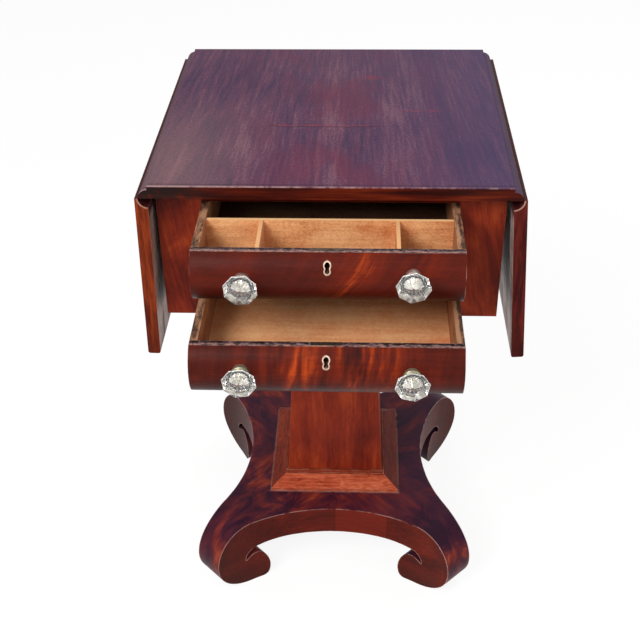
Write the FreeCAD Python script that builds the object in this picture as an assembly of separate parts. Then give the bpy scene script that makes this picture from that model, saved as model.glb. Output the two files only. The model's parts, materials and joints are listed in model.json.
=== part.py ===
import FreeCAD, Part
import math
import os
from FreeCAD import Vector

# Drop-leaf side table on a tapered column and a four-scroll base.
# Millimetres. X is the width, -Y is the drawer side, +Z is up. The floor is z = 0 and the
# column stands on the Z axis. The drawers are drawn out and the leaves hang, as photographed.

# Table top and rule joints
table_height = 724.0
top_depth = 441.0
top_flat_width = 432.0
top_thickness = 16.0
rule_step = 4.5
rule_gap = 0.5
top_arris = 1.0

# Drop leaves
leaf_drop = 228.0
leaf_edge_round = 3.0
leaf_angle_left = 1.5
leaf_angle_right = 4.0

# Rule joint hinges
hinge_from_end = 88.0
hinge_length = 38.0
hinge_plate_thickness = 1.8
hinge_plate_reach = 26.0
hinge_flap_reach = 40.0
hinge_barrel_radius = 3.0
hinge_barrel_gap = 0.4
hinge_bore_gap = 0.05
hinge_pin_radius = 1.4
hinge_knuckle_gap = 0.3
hinge_bed_gap = 0.3

# Case
case_side_inset = 4.5
case_front_inset = 23.0
side_thickness = 18.0
stile_thickness = 18.0
back_thickness = 12.0
rail_depth = 55.0
bottom_rail_height = 13.0
middle_rail_height = 21.0
top_rail_height = 15.5
stile_width = 55.5
opening_height = 65.0
guide_thickness = 12.0
runner_width = 24.0

# Leaf supports let into the case sides
bracket_length = 150.0
bracket_height = 52.0
bracket_thickness = 13.0
bracket_below_top = 6.0
bracket_gap = 1.0
bracket_pin_radius = 2.5
bracket_pin_gap = 0.1
bracket_pin_reach = 10.0
bracket_pin_cover = 1.0
bracket_finger_radius = 14.0
bracket_finger_inset = 18.0

# Drawers
drawer_side_gap = 1.0
drawer_run_gap = 0.3
drawer_top_gap = 1.0
drawer_back_room = 22.0
drawer_out_upper = 114.0
drawer_out_lower = 175.0
front_edge_thickness = 9.0
front_bulge = 18.0
drawer_side_thickness = 9.0
drawer_back_thickness = 9.0
drawer_back_drop = 3.0
drawer_bottom_thickness = 6.0
drawer_bottom_lift = 5.0
drawer_groove_depth = 4.0
dovetail_count = 2
dovetail_root = 14.0
dovetail_flare = 2.5
dovetail_lap = 3.0
tray_depth = 66.0
tray_board_thickness = 4.5
tray_board_drop = 2.0
divider_to_knob = 13.5

# Locks and keyholes
keyhole_below_edge = 13.6
keyhole_top_radius = 3.2
keyhole_foot_radius = 2.8
keyhole_waist = 4.2
keyhole_drop = 5.8
escutcheon_rim = 1.2
escutcheon_depth = 1.5
escutcheon_proud = 0.3
lock_width = 37.0
lock_height = 30.0
lock_thickness = 6.5
lock_bolt_width = 13.4
lock_bolt_thickness = 3.0
lock_bolt_length = 15.0
lock_bolt_gap = 0.3
lock_bolt_travel = 7.0
lock_mortise_gap = 0.8

# Knobs
knob_spread = 192.0
upper_knob_lifts = (3.2, 8.6)
lower_knob_lifts = (6.2, 4.4)
upper_knob_turns = (0.0, 22.5)
lower_knob_turns = (17.0, 5.0)
knob_flat_width = 37.0
knob_back_width = 22.0
knob_table_width = 21.0
knob_flare_depth = 11.0
knob_rim_depth = 2.0
knob_crown_depth = 3.0
collar_radius = 10.5
collar_flange = 2.6
collar_neck_radius = 8.5
collar_ring = 1.8
collar_length = 7.0
collar_seat = 7.0
knob_bolt_radius = 2.0
knob_bolt_gap = 0.1
knob_bolt_in_glass = 9.0
knob_bolt_tip_gap = 0.5
knob_nut_width = 9.0
knob_nut_thickness = 4.0

# Column
column_foot_width = 147.0
column_head_width = 109.0
column_tenon_width = 40.0
column_foot_tenon = 32.0
column_head_tenon = 12.0
tenon_gap = 0.1
cleat_width = 196.0
cleat_thickness = 18.0
cleat_bevel = 8.0

# Plinth moulding round the foot of the column
plinth_reach = 26.0
plinth_edge_height = 6.0
plinth_rise = 18.5
plinth_fillet_reach = 3.2
plinth_fillet_height = 5.5

# Scroll base
platform_top = 122.5
platform_thickness = 48.0
waist_half = 138.5
waist_radius = 250.0
leg_reach = 272.0
scroll_radius = 57.0
scroll_face_height = 0.5
sole_length = 18.0
toe_radius = 12.0
toe_turn = 75.0
cheek_radius = 51.0
cheek_turn = 50.0
crown_radius = 13.5
crown_turn = 90.0
slit_length = 13.0
hollow_radius = 22.3
hollow_slope = 9.0
hollow_rise = 4.0

# Cutters run this far past the faces that they open
cut_past = 1.0

# Worked-out levels and planes
hinge_x = top_flat_width / 2
hinge_z = table_height - top_thickness
ovolo_radius = top_thickness - rule_step
case_half = hinge_x - case_side_inset
case_back = top_depth / 2 - case_front_inset
case_front = -case_back
case_height = bottom_rail_height + middle_rail_height + top_rail_height + 2 * opening_height
case_floor = hinge_z - case_height
lower_opening = case_floor + bottom_rail_height
upper_opening = lower_opening + opening_height + middle_rail_height
back_inner = case_back - back_thickness
rail_back = case_front + rail_depth
opening_half = case_half - stile_width
drawer_half = opening_half - drawer_side_gap
drawer_length = back_inner - case_front - front_edge_thickness - drawer_back_room
drawer_height = opening_height - drawer_run_gap - drawer_top_gap
shoulder_radius = platform_top - scroll_radius - scroll_face_height
plinth_top = platform_top + plinth_rise + plinth_fillet_height
cleat_floor = case_floor - cleat_thickness


def box(x0, x1, y0, y1, z0, z1):
    """A rectangular board between two corners."""
    return Part.makeBox(x1 - x0, y1 - y0, z1 - z0, Vector(x0, y0, z0))


def cylinder_y(radius, length, x, y, z):
    """A round bar along +Y from a point."""
    return Part.makeCylinder(radius, length, Vector(x, y, z), Vector(0, 1, 0))


def cylinder_z(radius, length, x, y, z):
    """A round bar along +Z from a point."""
    return Part.makeCylinder(radius, length, Vector(x, y, z), Vector(0, 0, 1))


def wire(parts):
    """Joins points and arcs into one closed face. An item is a point or (via, end)."""
    edges = []
    here = parts[0]
    for item in parts[1:] + [parts[0]]:
        if isinstance(item, tuple):
            edges.append(Part.Arc(here, item[0], item[1]).toShape())
            here = item[1]
        elif (item - here).Length > 1e-6:
            edges.append(Part.LineSegment(here, item).toShape())
            here = item
    return Part.Face(Part.Wire(edges))


def xz(x, z):
    return Vector(x, 0, z)


def polar(cx, cz, radius, degrees):
    """A point of the XZ plane on a circle about (cx, cz)."""
    turn = math.radians(degrees)
    return xz(cx + radius * math.cos(turn), cz + radius * math.sin(turn))


def mirrored(shape):
    """The same piece on the other side of the middle plane."""
    return shape.mirror(Vector(0, 0, 0), Vector(1, 0, 0))


def group(shapes):
    return shapes[0] if len(shapes) == 1 else Part.makeCompound(shapes)


def hinge_places():
    """The start of each of the two hinges along one joint."""
    first = -top_depth / 2 + hinge_from_end
    return [first, -first - hinge_length]


def plate_span():
    """The fixed plate lies inwards of the barrel."""
    return hinge_x - hinge_plate_reach, hinge_x


def flap_span():
    """The long flap reaches outwards, past the moulded edge, into the leaf."""
    return hinge_x, hinge_x + hinge_flap_reach


def make_top_board():
    """The flat board with its ovolo edges, bedded for the hinges below."""
    half = top_depth / 2
    right = xz(hinge_x + ovolo_radius, hinge_z)
    left = xz(-hinge_x - ovolo_radius, hinge_z)
    section = wire([
        left,
        right,
        (polar(hinge_x, hinge_z, ovolo_radius, 45), xz(hinge_x, hinge_z + ovolo_radius)),
        xz(hinge_x, table_height),
        xz(-hinge_x, table_height),
        xz(-hinge_x, hinge_z + ovolo_radius),
        (polar(-hinge_x, hinge_z, ovolo_radius, 135), left),
    ])
    board = section.extrude(Vector(0, top_depth, 0))
    board.translate(Vector(0, -half, 0))
    upper = [e for e in board.Edges if e.BoundBox.ZMin > table_height - 1e-3]
    board = board.makeFillet(top_arris, upper)
    return board.cut(group(hinge_beds_in_top()))


def hinge_beds_in_top():
    """A trench for the barrel, a bed for the fixed plate and room for the swinging flap."""
    beds = []
    barrel_reach = hinge_barrel_radius + hinge_barrel_gap
    flap_reach = ovolo_radius + hinge_bed_gap
    inner, outer = plate_span()
    for y in hinge_places():
        low = y - hinge_bed_gap
        high = y + hinge_length + hinge_bed_gap
        trench = box(hinge_x - barrel_reach, hinge_x + barrel_reach, low, high,
                     hinge_z, hinge_z + barrel_reach)
        plate = box(inner, outer, y, y + hinge_length, hinge_z, hinge_z + hinge_plate_thickness)
        flap = box(hinge_x, hinge_x + flap_reach, low, high,
                   hinge_z, hinge_z + hinge_plate_thickness + hinge_bed_gap)
        beds.append(trench.fuse([plate, flap]).removeSplitter())
    return beds + [mirrored(b) for b in beds]


def make_leaf():
    """The right leaf as it lies when raised, with its cove and rounded edge."""
    cove = ovolo_radius + rule_gap
    lip = math.sqrt(cove ** 2 - rule_gap ** 2)
    edge = hinge_x + leaf_drop
    section = wire([
        xz(hinge_x + cove, hinge_z),
        (polar(hinge_x, hinge_z, cove, 45), xz(hinge_x + rule_gap, hinge_z + lip)),
        xz(hinge_x + rule_gap, table_height),
        xz(edge, table_height),
        xz(edge, hinge_z),
    ])
    leaf = section.extrude(Vector(0, top_depth, 0))
    leaf.translate(Vector(0, -top_depth / 2, 0))
    long_edges = [e for e in leaf.Edges if e.BoundBox.XMin > edge - 1e-3
                  and e.BoundBox.YLength > top_depth / 2]
    leaf = leaf.makeFillet(leaf_edge_round, long_edges)
    beds = []
    for y in hinge_places():
        beds.append(box(hinge_x, flap_span()[1], y, y + hinge_length,
                        hinge_z, hinge_z + hinge_plate_thickness))
    return leaf.cut(group(beds))


def knuckle_spans(y):
    """Three equal knuckles: the outer two on the fixed plate, the middle one on the flap."""
    pitch = hinge_length / 3
    gap = hinge_knuckle_gap / 2
    middle = (y + pitch + gap, y + 2 * pitch - gap)
    outer = [(y, y + pitch - gap), (y + 2 * pitch + gap, y + hinge_length)]
    return outer, [middle]


def make_hinge_half(y, x_far, mine, others):
    """One plate with its knuckles, notched for the other's knuckles."""
    plate = box(min(hinge_x, x_far), max(hinge_x, x_far), y, y + hinge_length,
                hinge_z, hinge_z + hinge_plate_thickness)
    for y_low, y_high in mine:
        plate = plate.fuse(cylinder_y(hinge_barrel_radius, y_high - y_low,
                                      hinge_x, y_low, hinge_z))
    reach = hinge_barrel_radius + hinge_barrel_gap
    for y_low, y_high in others:
        plate = plate.cut(box(hinge_x - reach, hinge_x + reach, y_low - hinge_knuckle_gap,
                              y_high + hinge_knuckle_gap, hinge_z - reach, hinge_z + reach))
    return plate


def make_hinge_top_plates():
    """The fixed plates. The pin is riveted into their two outer knuckles."""
    halves = []
    for y in hinge_places():
        outer, middle = knuckle_spans(y)
        pin = cylinder_y(hinge_pin_radius, hinge_length, hinge_x, y, hinge_z)
        half = make_hinge_half(y, plate_span()[0], outer, middle)
        halves.append(half.fuse(pin).removeSplitter())
    return halves + [mirrored(h) for h in halves]


def make_hinge_flaps():
    """The long flaps. Their middle knuckle turns on the pin."""
    halves = []
    for y in hinge_places():
        outer, middle = knuckle_spans(y)
        bore = cylinder_y(hinge_pin_radius + hinge_bore_gap, hinge_length, hinge_x, y, hinge_z)
        half = make_hinge_half(y, flap_span()[1], middle, outer)
        halves.append(half.cut(bore).removeSplitter())
    return halves


def hang(shapes, side, angle):
    """Swings raised pieces about the hinge line, down to where the leaf hangs."""
    turned = []
    for shape in shapes:
        shape = shape.copy() if side > 0 else mirrored(shape)
        shape.rotate(Vector(side * hinge_x, 0, hinge_z), Vector(0, side, 0), 90 - angle)
        turned.append(shape)
    return group(turned)


def bracket_block(grow, past):
    """The leaf support in the outer face of the right side, or its bed."""
    top = hinge_z - bracket_below_top
    return box(case_half - bracket_thickness - grow, case_half + past,
               -bracket_length / 2 - grow, bracket_length / 2 + grow,
               top - bracket_height - grow, top + grow)


def bracket_pin(grow):
    """The upright pin that the leaf support turns on, near its rear end, or its hole."""
    low = hinge_z - bracket_below_top - bracket_height - bracket_gap - bracket_pin_reach
    high = hinge_z - bracket_pin_cover
    return cylinder_z(bracket_pin_radius + grow, high - low, case_half - bracket_thickness / 2,
                      bracket_length / 2 - bracket_thickness / 2, low)


def make_bracket():
    """A short wooden arm with its pin, a rounded heel and a finger hollow at its free end."""
    top = hinge_z - bracket_below_top
    arm = bracket_block(0, 0)
    heel_y = bracket_length / 2 - bracket_thickness / 2
    corner = box(case_half - bracket_thickness - cut_past, case_half + cut_past,
                 heel_y, bracket_length / 2 + cut_past,
                 top - bracket_height - cut_past, top + cut_past)
    heel = cylinder_z(bracket_thickness / 2, bracket_height, case_half - bracket_thickness / 2,
                      heel_y, top - bracket_height)
    finger = Part.makeCylinder(bracket_finger_radius, bracket_thickness,
                               Vector(case_half - bracket_thickness,
                                      -bracket_length / 2 + bracket_finger_inset,
                                      top - bracket_height), Vector(1, 0, 0))
    return arm.cut(corner).fuse(heel).cut(finger).fuse(bracket_pin(0)).removeSplitter()


def make_case_side():
    """The right side board, let out for the leaf support and bored for its pin."""
    board = box(case_half - side_thickness, case_half, case_front + stile_thickness, case_back,
                case_floor, hinge_z)
    return board.cut(bracket_block(bracket_gap, cut_past)).cut(bracket_pin(bracket_pin_gap))


def make_stile():
    """The veneered front post between the drawers and the right corner."""
    return box(opening_half, case_half, case_front, case_front + stile_thickness,
               case_floor, hinge_z)


def make_guide_panel():
    """The inner panel that keeps the drawers straight."""
    return box(opening_half, opening_half + guide_thickness, case_front + stile_thickness,
               back_inner, lower_opening, hinge_z)


def make_rail(floor, height):
    return box(-opening_half, opening_half, case_front, rail_back, floor, floor + height)


def bolt_place():
    """Where the lock bolt runs, behind the edge plane of a drawer front."""
    return front_edge_thickness - lock_thickness / 2


def bolt_mortise(rail_floor):
    """The slot that takes the shot bolt when the drawer is shut."""
    half_width = lock_bolt_width / 2 + lock_mortise_gap
    half_thick = lock_bolt_thickness / 2 + lock_mortise_gap
    y = case_front + bolt_place()
    return box(-half_width, half_width, y - half_thick, y + half_thick,
               rail_floor - cut_past, rail_floor + lock_bolt_travel + lock_mortise_gap)


def make_case_bottom():
    board = box(-case_half + side_thickness, case_half - side_thickness, rail_back, back_inner,
                case_floor, lower_opening)
    ends = box(opening_half, case_half - side_thickness, case_front + stile_thickness, rail_back,
               case_floor, lower_opening)
    return board.fuse([ends, mirrored(ends)]).removeSplitter()


def make_case_back():
    return box(-case_half + side_thickness, case_half - side_thickness, back_inner, case_back,
               case_floor, hinge_z)


def make_bearer(floor, height):
    """A strip along each guide panel, level with a rail."""
    strip = box(opening_half - runner_width, opening_half, rail_back, back_inner,
                floor, floor + height)
    return group([strip, mirrored(strip)])


def front_section(proud):
    """The bow of a drawer front, from its lower to its upper edge, drawn at y = 0."""
    half = drawer_height / 2
    bow = front_bulge + proud
    return Vector(0, 0, -half), Vector(0, -bow, 0), Vector(0, 0, half)


def bow_solid(proud, width):
    """The part of the front that stands out of the flat, as a bar along X."""
    low, middle, high = front_section(proud)
    back = Vector(0, front_edge_thickness, 0)
    face = wire([low, (middle, high), high + back, low + back])
    bar = face.extrude(Vector(width, 0, 0))
    bar.translate(Vector(-width / 2, 0, 0))
    return bar


def keyhole_bar(grow):
    """The keyhole outline, grown by a rim, as a bar along Y that runs through the front."""
    start = -front_bulge - cut_past
    depth = front_edge_thickness + cut_past - start
    high = drawer_height / 2 - keyhole_below_edge + keyhole_drop / 2
    low = high - keyhole_drop
    top = cylinder_y(keyhole_top_radius + grow, depth, 0, start, high)
    foot = cylinder_y(keyhole_foot_radius + grow, depth, 0, start, low)
    waist = keyhole_waist / 2 + grow
    slot = box(-waist, waist, start, start + depth, low, high)
    return top.fuse([foot, slot]).removeSplitter()


def make_escutcheon():
    """A metal rim let flush into the bow round the keyhole."""
    ring = keyhole_bar(escutcheon_rim).cut(keyhole_bar(0))
    outer = bow_solid(escutcheon_proud, lock_width)
    inner = bow_solid(-escutcheon_depth, lock_width)
    return ring.common(outer).cut(inner)


def lock_box():
    top = drawer_height / 2
    back = front_edge_thickness
    return box(-lock_width / 2, lock_width / 2, back - lock_thickness, back,
               top - lock_height, top)


def bolt_block(grow, past):
    """The bolt, drawn back level with the top of the lock, or its channel in the lock."""
    top = drawer_height / 2
    y = bolt_place()
    return box(-lock_bolt_width / 2 - grow, lock_bolt_width / 2 + grow,
               y - lock_bolt_thickness / 2 - grow, y + lock_bolt_thickness / 2 + grow,
               top - lock_bolt_length - grow, top + past)


def make_lock():
    """The lock case, with its bolt channel and a slot for the key."""
    high = drawer_height / 2 - keyhole_below_edge + keyhole_drop / 2 + keyhole_top_radius
    low = high - keyhole_top_radius - keyhole_drop - keyhole_foot_radius
    half = keyhole_waist / 2
    slot = box(-half, half, -front_bulge, bolt_place(), low, high)
    return lock_box().cut(bolt_block(lock_bolt_gap, cut_past)).cut(slot)


def knob_bolt_bore():
    start = -front_bulge - cut_past
    return cylinder_y(knob_bolt_radius + knob_bolt_gap, front_edge_thickness + cut_past - start,
                      0, start, 0)


def make_drawer_front():
    """The bowed front with lock bed, keyhole and dovetail sockets, grooved for the bottom."""
    front = bow_solid(0, 2 * drawer_half)
    bed = keyhole_bar(escutcheon_rim).cut(bow_solid(-escutcheon_depth, lock_width))
    groove = drawer_bottom_board(drawer_groove_depth)
    tails = front_tails()
    front = front.cut(lock_box()).cut(keyhole_bar(0)).cut(bed).cut(groove)
    return front.cut(tails + [mirrored(t) for t in tails])


def inside_half():
    return drawer_half - drawer_side_thickness


def drawer_bottom_board(tongue):
    """The bottom panel; its tongue enters the grooves of the front and sides."""
    floor = -drawer_height / 2 + drawer_bottom_lift
    return box(-inside_half() - tongue, inside_half() + tongue,
               front_edge_thickness - tongue, front_edge_thickness + drawer_length,
               floor, floor + drawer_bottom_thickness)


def dovetails(y_root, y_tip):
    """The right side's tails, narrow at the root, standing one above another."""
    pitch = drawer_height / dovetail_count
    tails = []
    for i in range(dovetail_count):
        middle = -drawer_height / 2 + (i + 0.5) * pitch
        root = dovetail_root / 2
        tip = root + dovetail_flare
        face = wire([Vector(inside_half(), y_root, middle - root),
                     Vector(inside_half(), y_tip, middle - tip),
                     Vector(inside_half(), y_tip, middle + tip),
                     Vector(inside_half(), y_root, middle + root)])
        tails.append(face.extrude(Vector(drawer_side_thickness, 0, 0)))
    return tails


def front_tails():
    """Half-blind: the tails stop short of the show face."""
    return dovetails(front_edge_thickness, dovetail_lap)


def back_tails():
    """Through dovetails at the back corners."""
    end = front_edge_thickness + drawer_length
    return dovetails(end - drawer_back_thickness, end)


def make_drawer_side():
    """The right side with its dovetails, grooved for the bottom."""
    half = drawer_height / 2
    end = front_edge_thickness + drawer_length
    side = box(inside_half(), drawer_half, front_edge_thickness, end - drawer_back_thickness,
               -half, half)
    floor = drawer_bottom_board(drawer_groove_depth)
    below = box(inside_half(), drawer_half, end - drawer_back_thickness, end,
                -half, back_floor())
    return side.fuse(front_tails() + back_tails() + [below]).removeSplitter().cut(floor)


def back_floor():
    return -drawer_height / 2 + drawer_bottom_lift + drawer_bottom_thickness


def make_drawer_back():
    """The back board, which stops above the bottom so that the bottom slides in below it."""
    half = drawer_height / 2
    end = front_edge_thickness + drawer_length
    board = box(-drawer_half, drawer_half, end - drawer_back_thickness, end,
                back_floor(), half - drawer_back_drop)
    tails = back_tails()
    return board.cut(tails + [mirrored(t) for t in tails])


def tray_board(x0, x1, y0, y1):
    """A thin upright board standing on the drawer bottom."""
    return box(x0, x1, y0, y1, back_floor(), drawer_height / 2 - tray_board_drop)


def make_tray_partition():
    start = front_edge_thickness + tray_depth
    return tray_board(-inside_half(), inside_half(), start, start + tray_board_thickness)


def make_tray_divider():
    """The right divider of the front tray."""
    end = knob_spread / 2 - divider_to_knob
    return tray_board(end - tray_board_thickness, end,
                      front_edge_thickness, front_edge_thickness + tray_depth)


def slab(first, second):
    """A flat-faced solid between two outlines with the same number of corners."""
    faces = [Part.Face(Part.makePolygon(first + first[:1])),
             Part.Face(Part.makePolygon(second + second[:1]))]
    for i in range(len(first)):
        j = (i + 1) % len(first)
        faces.append(Part.Face(Part.makePolygon([first[i], first[j], second[j], second[i],
                                                 first[i]])))
    solid = Part.Solid(Part.Shell(faces))
    if solid.Volume < 0:
        solid.reverse()
    return solid


def octagon(width, y):
    """Eight corners of a given width across the flats, in a plane square to Y."""
    radius = width / 2 / math.cos(math.pi / 8)
    corners = []
    for i in range(8):
        turn = math.pi / 8 + i * math.pi / 4
        corners.append(Vector(radius * math.cos(turn), y, radius * math.sin(turn)))
    return corners


def make_knob_glass():
    """A cut glass knob: a flared back, an upright rim and a bevelled crown."""
    back = -front_bulge - collar_length
    flare = back - knob_flare_depth
    rim = flare - knob_rim_depth
    crown = rim - knob_crown_depth
    outlines = [octagon(knob_back_width, back), octagon(knob_flat_width, flare),
                octagon(knob_flat_width, rim), octagon(knob_table_width, crown)]
    slabs = [slab(first, second) for first, second in zip(outlines, outlines[1:])]
    bore = cylinder_y(knob_bolt_radius + knob_bolt_gap, knob_bolt_in_glass + cut_past,
                      0, back - knob_bolt_in_glass, 0)
    return slabs[0].fuse(slabs[1:]).removeSplitter().cut(bore)


def make_collar():
    """The turned metal collar between the drawer front and the glass: flange, neck and ring."""
    seat = -front_bulge
    back = seat + collar_seat
    front = seat - collar_length
    ring_radius = (collar_radius + collar_neck_radius) / 2
    profile = [
        Vector(0, back, 0),
        Vector(collar_radius, back, 0),
        Vector(collar_radius, seat - collar_flange, 0),
        Vector(collar_neck_radius, seat - collar_flange, 0),
        Vector(collar_neck_radius, front + collar_ring, 0),
        Vector(ring_radius, front + collar_ring, 0),
        Vector(ring_radius, front, 0),
        Vector(0, front, 0),
    ]
    return wire(profile).revolve(Vector(0, 0, 0), Vector(0, 1, 0), 360)


def make_knob_bolt():
    """The bolt, from the glass through the front to its nut."""
    tip = -front_bulge - collar_length - knob_bolt_in_glass + knob_bolt_tip_gap
    inside = front_edge_thickness
    bolt = cylinder_y(knob_bolt_radius, inside - tip, 0, tip, 0)
    corners = []
    for i in range(6):
        turn = i * math.pi / 3
        radius = knob_nut_width / 2 / math.cos(math.pi / 6)
        corners.append(Vector(radius * math.cos(turn), inside, radius * math.sin(turn)))
    nut = Part.Face(Part.makePolygon(corners + corners[:1]))
    nut = nut.extrude(Vector(0, knob_nut_thickness, 0))
    return bolt.fuse(nut).removeSplitter()


def make_knob_mounts(places):
    """Each collar is scribed to the bow of the front and has its bolt fixed in it."""
    bow = bow_solid(0, 2 * drawer_half)
    mounts = []
    for place in places:
        collar = at_places(make_collar(), [place]).cut(bow)
        bolt = at_places(make_knob_bolt(), [place])
        mounts.append(collar.fuse(bolt).removeSplitter())
    return group(mounts)


def knob_places(lifts):
    """Where the two knobs of a drawer stand: each a little above the middle."""
    return [Vector(-knob_spread / 2, 0, lifts[0]), Vector(knob_spread / 2, 0, lifts[1])]


def at_places(shape, places, turns=(0, 0)):
    """A copy of the piece at each place, turned about its own axis."""
    copies = []
    for place, turn in zip(places, turns):
        copy = shape.copy()
        copy.rotate(Vector(0, 0, 0), Vector(0, 1, 0), turn)
        copy.translate(place)
        copies.append(copy)
    return group(copies)


def drawer_pieces(name, opening_floor, out, lifts, turns, with_tray):
    """Every piece of one drawer, moved from its own frame to where it stands."""
    side = make_drawer_side()
    places = knob_places(lifts)
    bolt_holes = at_places(knob_bolt_bore(), places)
    pieces = {
        name + "_front": make_drawer_front().cut(bolt_holes),
        name + "_side_left": mirrored(side),
        name + "_side_right": side,
        name + "_back": make_drawer_back(),
        name + "_bottom": drawer_bottom_board(drawer_groove_depth),
        name + "_knobs": at_places(make_knob_glass(), places, turns),
        name + "_knob_collars": make_knob_mounts(places),
        name + "_escutcheon": make_escutcheon(),
        name + "_lock": make_lock(),
        name + "_lock_bolt": bolt_block(0, 0),
    }
    if with_tray:
        divider = make_tray_divider()
        pieces[name + "_partition"] = make_tray_partition()
        pieces[name + "_divider_left"] = mirrored(divider)
        pieces[name + "_divider_right"] = divider
    middle = opening_floor + drawer_run_gap + drawer_height / 2
    for shape in pieces.values():
        shape.translate(Vector(0, case_front - out, middle))
    return pieces


def square(width, z):
    half = width / 2
    corners = [(-half, -half), (half, -half), (half, half), (-half, half)]
    return [Vector(x, y, z) for x, y in corners]


def column_tenon(grow, floor, top):
    """The square tenon at an end of the column, or its mortise."""
    half = column_tenon_width / 2 + grow
    return box(-half, half, -half, half, floor, top)


def make_column():
    """A square pillar, straight inside the plinth moulding and tapering above it."""
    foot = column_foot_width / 2
    body = box(-foot, foot, -foot, foot, platform_top, plinth_top)
    shaft = slab(square(column_foot_width, plinth_top), square(column_head_width, cleat_floor))
    foot_tenon = column_tenon(0, platform_top - column_foot_tenon, platform_top)
    head_tenon = column_tenon(0, cleat_floor, cleat_floor + column_head_tenon)
    return body.fuse([shaft, foot_tenon, head_tenon]).removeSplitter()


def make_cleat():
    """The board under the case that takes the head of the column."""
    upper = cleat_floor + cleat_bevel
    half = cleat_width / 2
    board = box(-half, half, -half, half, upper, case_floor)
    bevel = slab(square(cleat_width - 2 * cleat_bevel, cleat_floor), square(cleat_width, upper))
    mortise = column_tenon(tenon_gap, cleat_floor - cut_past,
                           cleat_floor + column_head_tenon + tenon_gap)
    return board.fuse(bevel).removeSplitter().cut(mortise)


def make_plinth_mouldings():
    """Four mitred lengths of bevelled moulding round the foot of the column."""
    inner = column_foot_width / 2
    outer = inner + plinth_reach
    fillet = inner + plinth_fillet_reach
    bevel_top = platform_top + plinth_rise
    section = [(inner, platform_top), (outer, platform_top),
               (outer, platform_top + plinth_edge_height), (fillet, bevel_top),
               (fillet, plinth_top), (inner, plinth_top)]
    points = [Vector(0, -reach, z) for reach, z in section]
    bar = Part.Face(Part.makePolygon(points + [points[0]])).extrude(Vector(2 * outer, 0, 0))
    bar.translate(Vector(-outer, 0, 0))
    far = outer + cut_past
    wedge = Part.Face(Part.makePolygon([Vector(0, 0, 0), Vector(-far, -far, 0),
                                        Vector(far, -far, 0), Vector(0, 0, 0)]))
    wedge = wedge.extrude(Vector(0, 0, table_height))
    front = bar.common(wedge)
    lengths = []
    for i in range(4):
        piece = front.copy()
        piece.rotate(Vector(0, 0, 0), Vector(0, 0, 1), 90 * i)
        lengths.append(piece)
    return group(lengths)


def tangent_arcs(start, heading, turns):
    """Clockwise arcs, each leaving the last one smoothly. Returns them, the end and heading."""
    arcs = []
    here = start
    for radius, turn in turns:
        cx = here.x + radius * math.sin(math.radians(heading))
        cz = here.z - radius * math.cos(math.radians(heading))
        end = polar(cx, cz, radius, heading + 90 - turn)
        arcs.append((polar(cx, cz, radius, heading + 90 - turn / 2), end))
        here = end
        heading -= turn
    return arcs, here, heading


def leg_profile():
    """The scroll seen square to its diagonal, from the shoulder round to the curled tip."""
    shoulder_start = xz(leg_reach - shoulder_radius, platform_top)
    roll_start = xz(leg_reach, scroll_radius)
    curl_start = xz(leg_reach - scroll_radius - sole_length, 0)
    shoulder, _, heading = tangent_arcs(shoulder_start, 0, [(shoulder_radius, 90)])
    roll, _, heading = tangent_arcs(roll_start, heading, [(scroll_radius, 90)])
    curl, tip, heading = tangent_arcs(curl_start, heading,
                                      [(toe_radius, toe_turn), (cheek_radius, cheek_turn),
                                       (crown_radius, crown_turn)])
    slit_end = polar(tip.x, tip.z, slit_length, heading)
    underside = platform_top - platform_thickness
    slope = math.radians(hollow_slope)
    hollow_z = underside - hollow_rise - hollow_radius * math.cos(slope)
    slit_turn = math.asin((slit_end.z - hollow_z) / hollow_radius)
    hollow_x = slit_end.x - hollow_radius * math.cos(slit_turn)
    hollow_end = polar(hollow_x, hollow_z, hollow_radius, 90 - hollow_slope)
    hollow_middle = (math.degrees(slit_turn) + 90 - hollow_slope) / 2
    ease = hollow_rise / (1 - math.cos(slope))
    ease_x = hollow_end.x - ease * math.sin(slope)
    return wire([
        xz(0, platform_top),
        shoulder_start,
        *shoulder,
        roll_start,
        *roll,
        curl_start,
        *curl,
        slit_end,
        (polar(hollow_x, hollow_z, hollow_radius, hollow_middle), hollow_end),
        (polar(ease_x, underside - ease, ease, 90 - hollow_slope / 2), xz(ease_x, underside)),
        xz(0, underside),
    ])


def leg_plan():
    """One quarter of the base seen from above, hollowed between the feet by two arcs."""
    centre = waist_half + waist_radius
    past_foot = (leg_reach + cut_past) * math.sqrt(2)
    tip_turn = math.pi / 4 + math.asin((past_foot - centre) / (waist_radius * math.sqrt(2)))
    tip_across = waist_radius * math.sin(tip_turn)
    tip_out = centre - waist_radius * math.cos(tip_turn)
    mid_across = waist_radius * math.sin(tip_turn / 2)
    mid_out = centre - waist_radius * math.cos(tip_turn / 2)
    return wire([
        Vector(0, 0, 0),
        Vector(waist_half, 0, 0),
        (Vector(mid_out, mid_across, 0), Vector(tip_out, tip_across, 0)),
        Vector(tip_across, tip_out, 0),
        (Vector(mid_across, mid_out, 0), Vector(0, waist_half, 0)),
    ])


def make_leg():
    """The rear right leg with its quarter of the platform."""
    plan = leg_plan().extrude(Vector(0, 0, 2 * platform_top))
    wide = 2 * leg_reach
    scroll = leg_profile().extrude(Vector(0, wide, 0))
    scroll.translate(Vector(0, -wide / 2, 0))
    scroll.rotate(Vector(0, 0, 0), Vector(0, 0, 1), 45)
    socket = column_tenon(tenon_gap, platform_top - column_foot_tenon - tenon_gap, platform_top)
    return plan.common(scroll).cut(socket)


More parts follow.
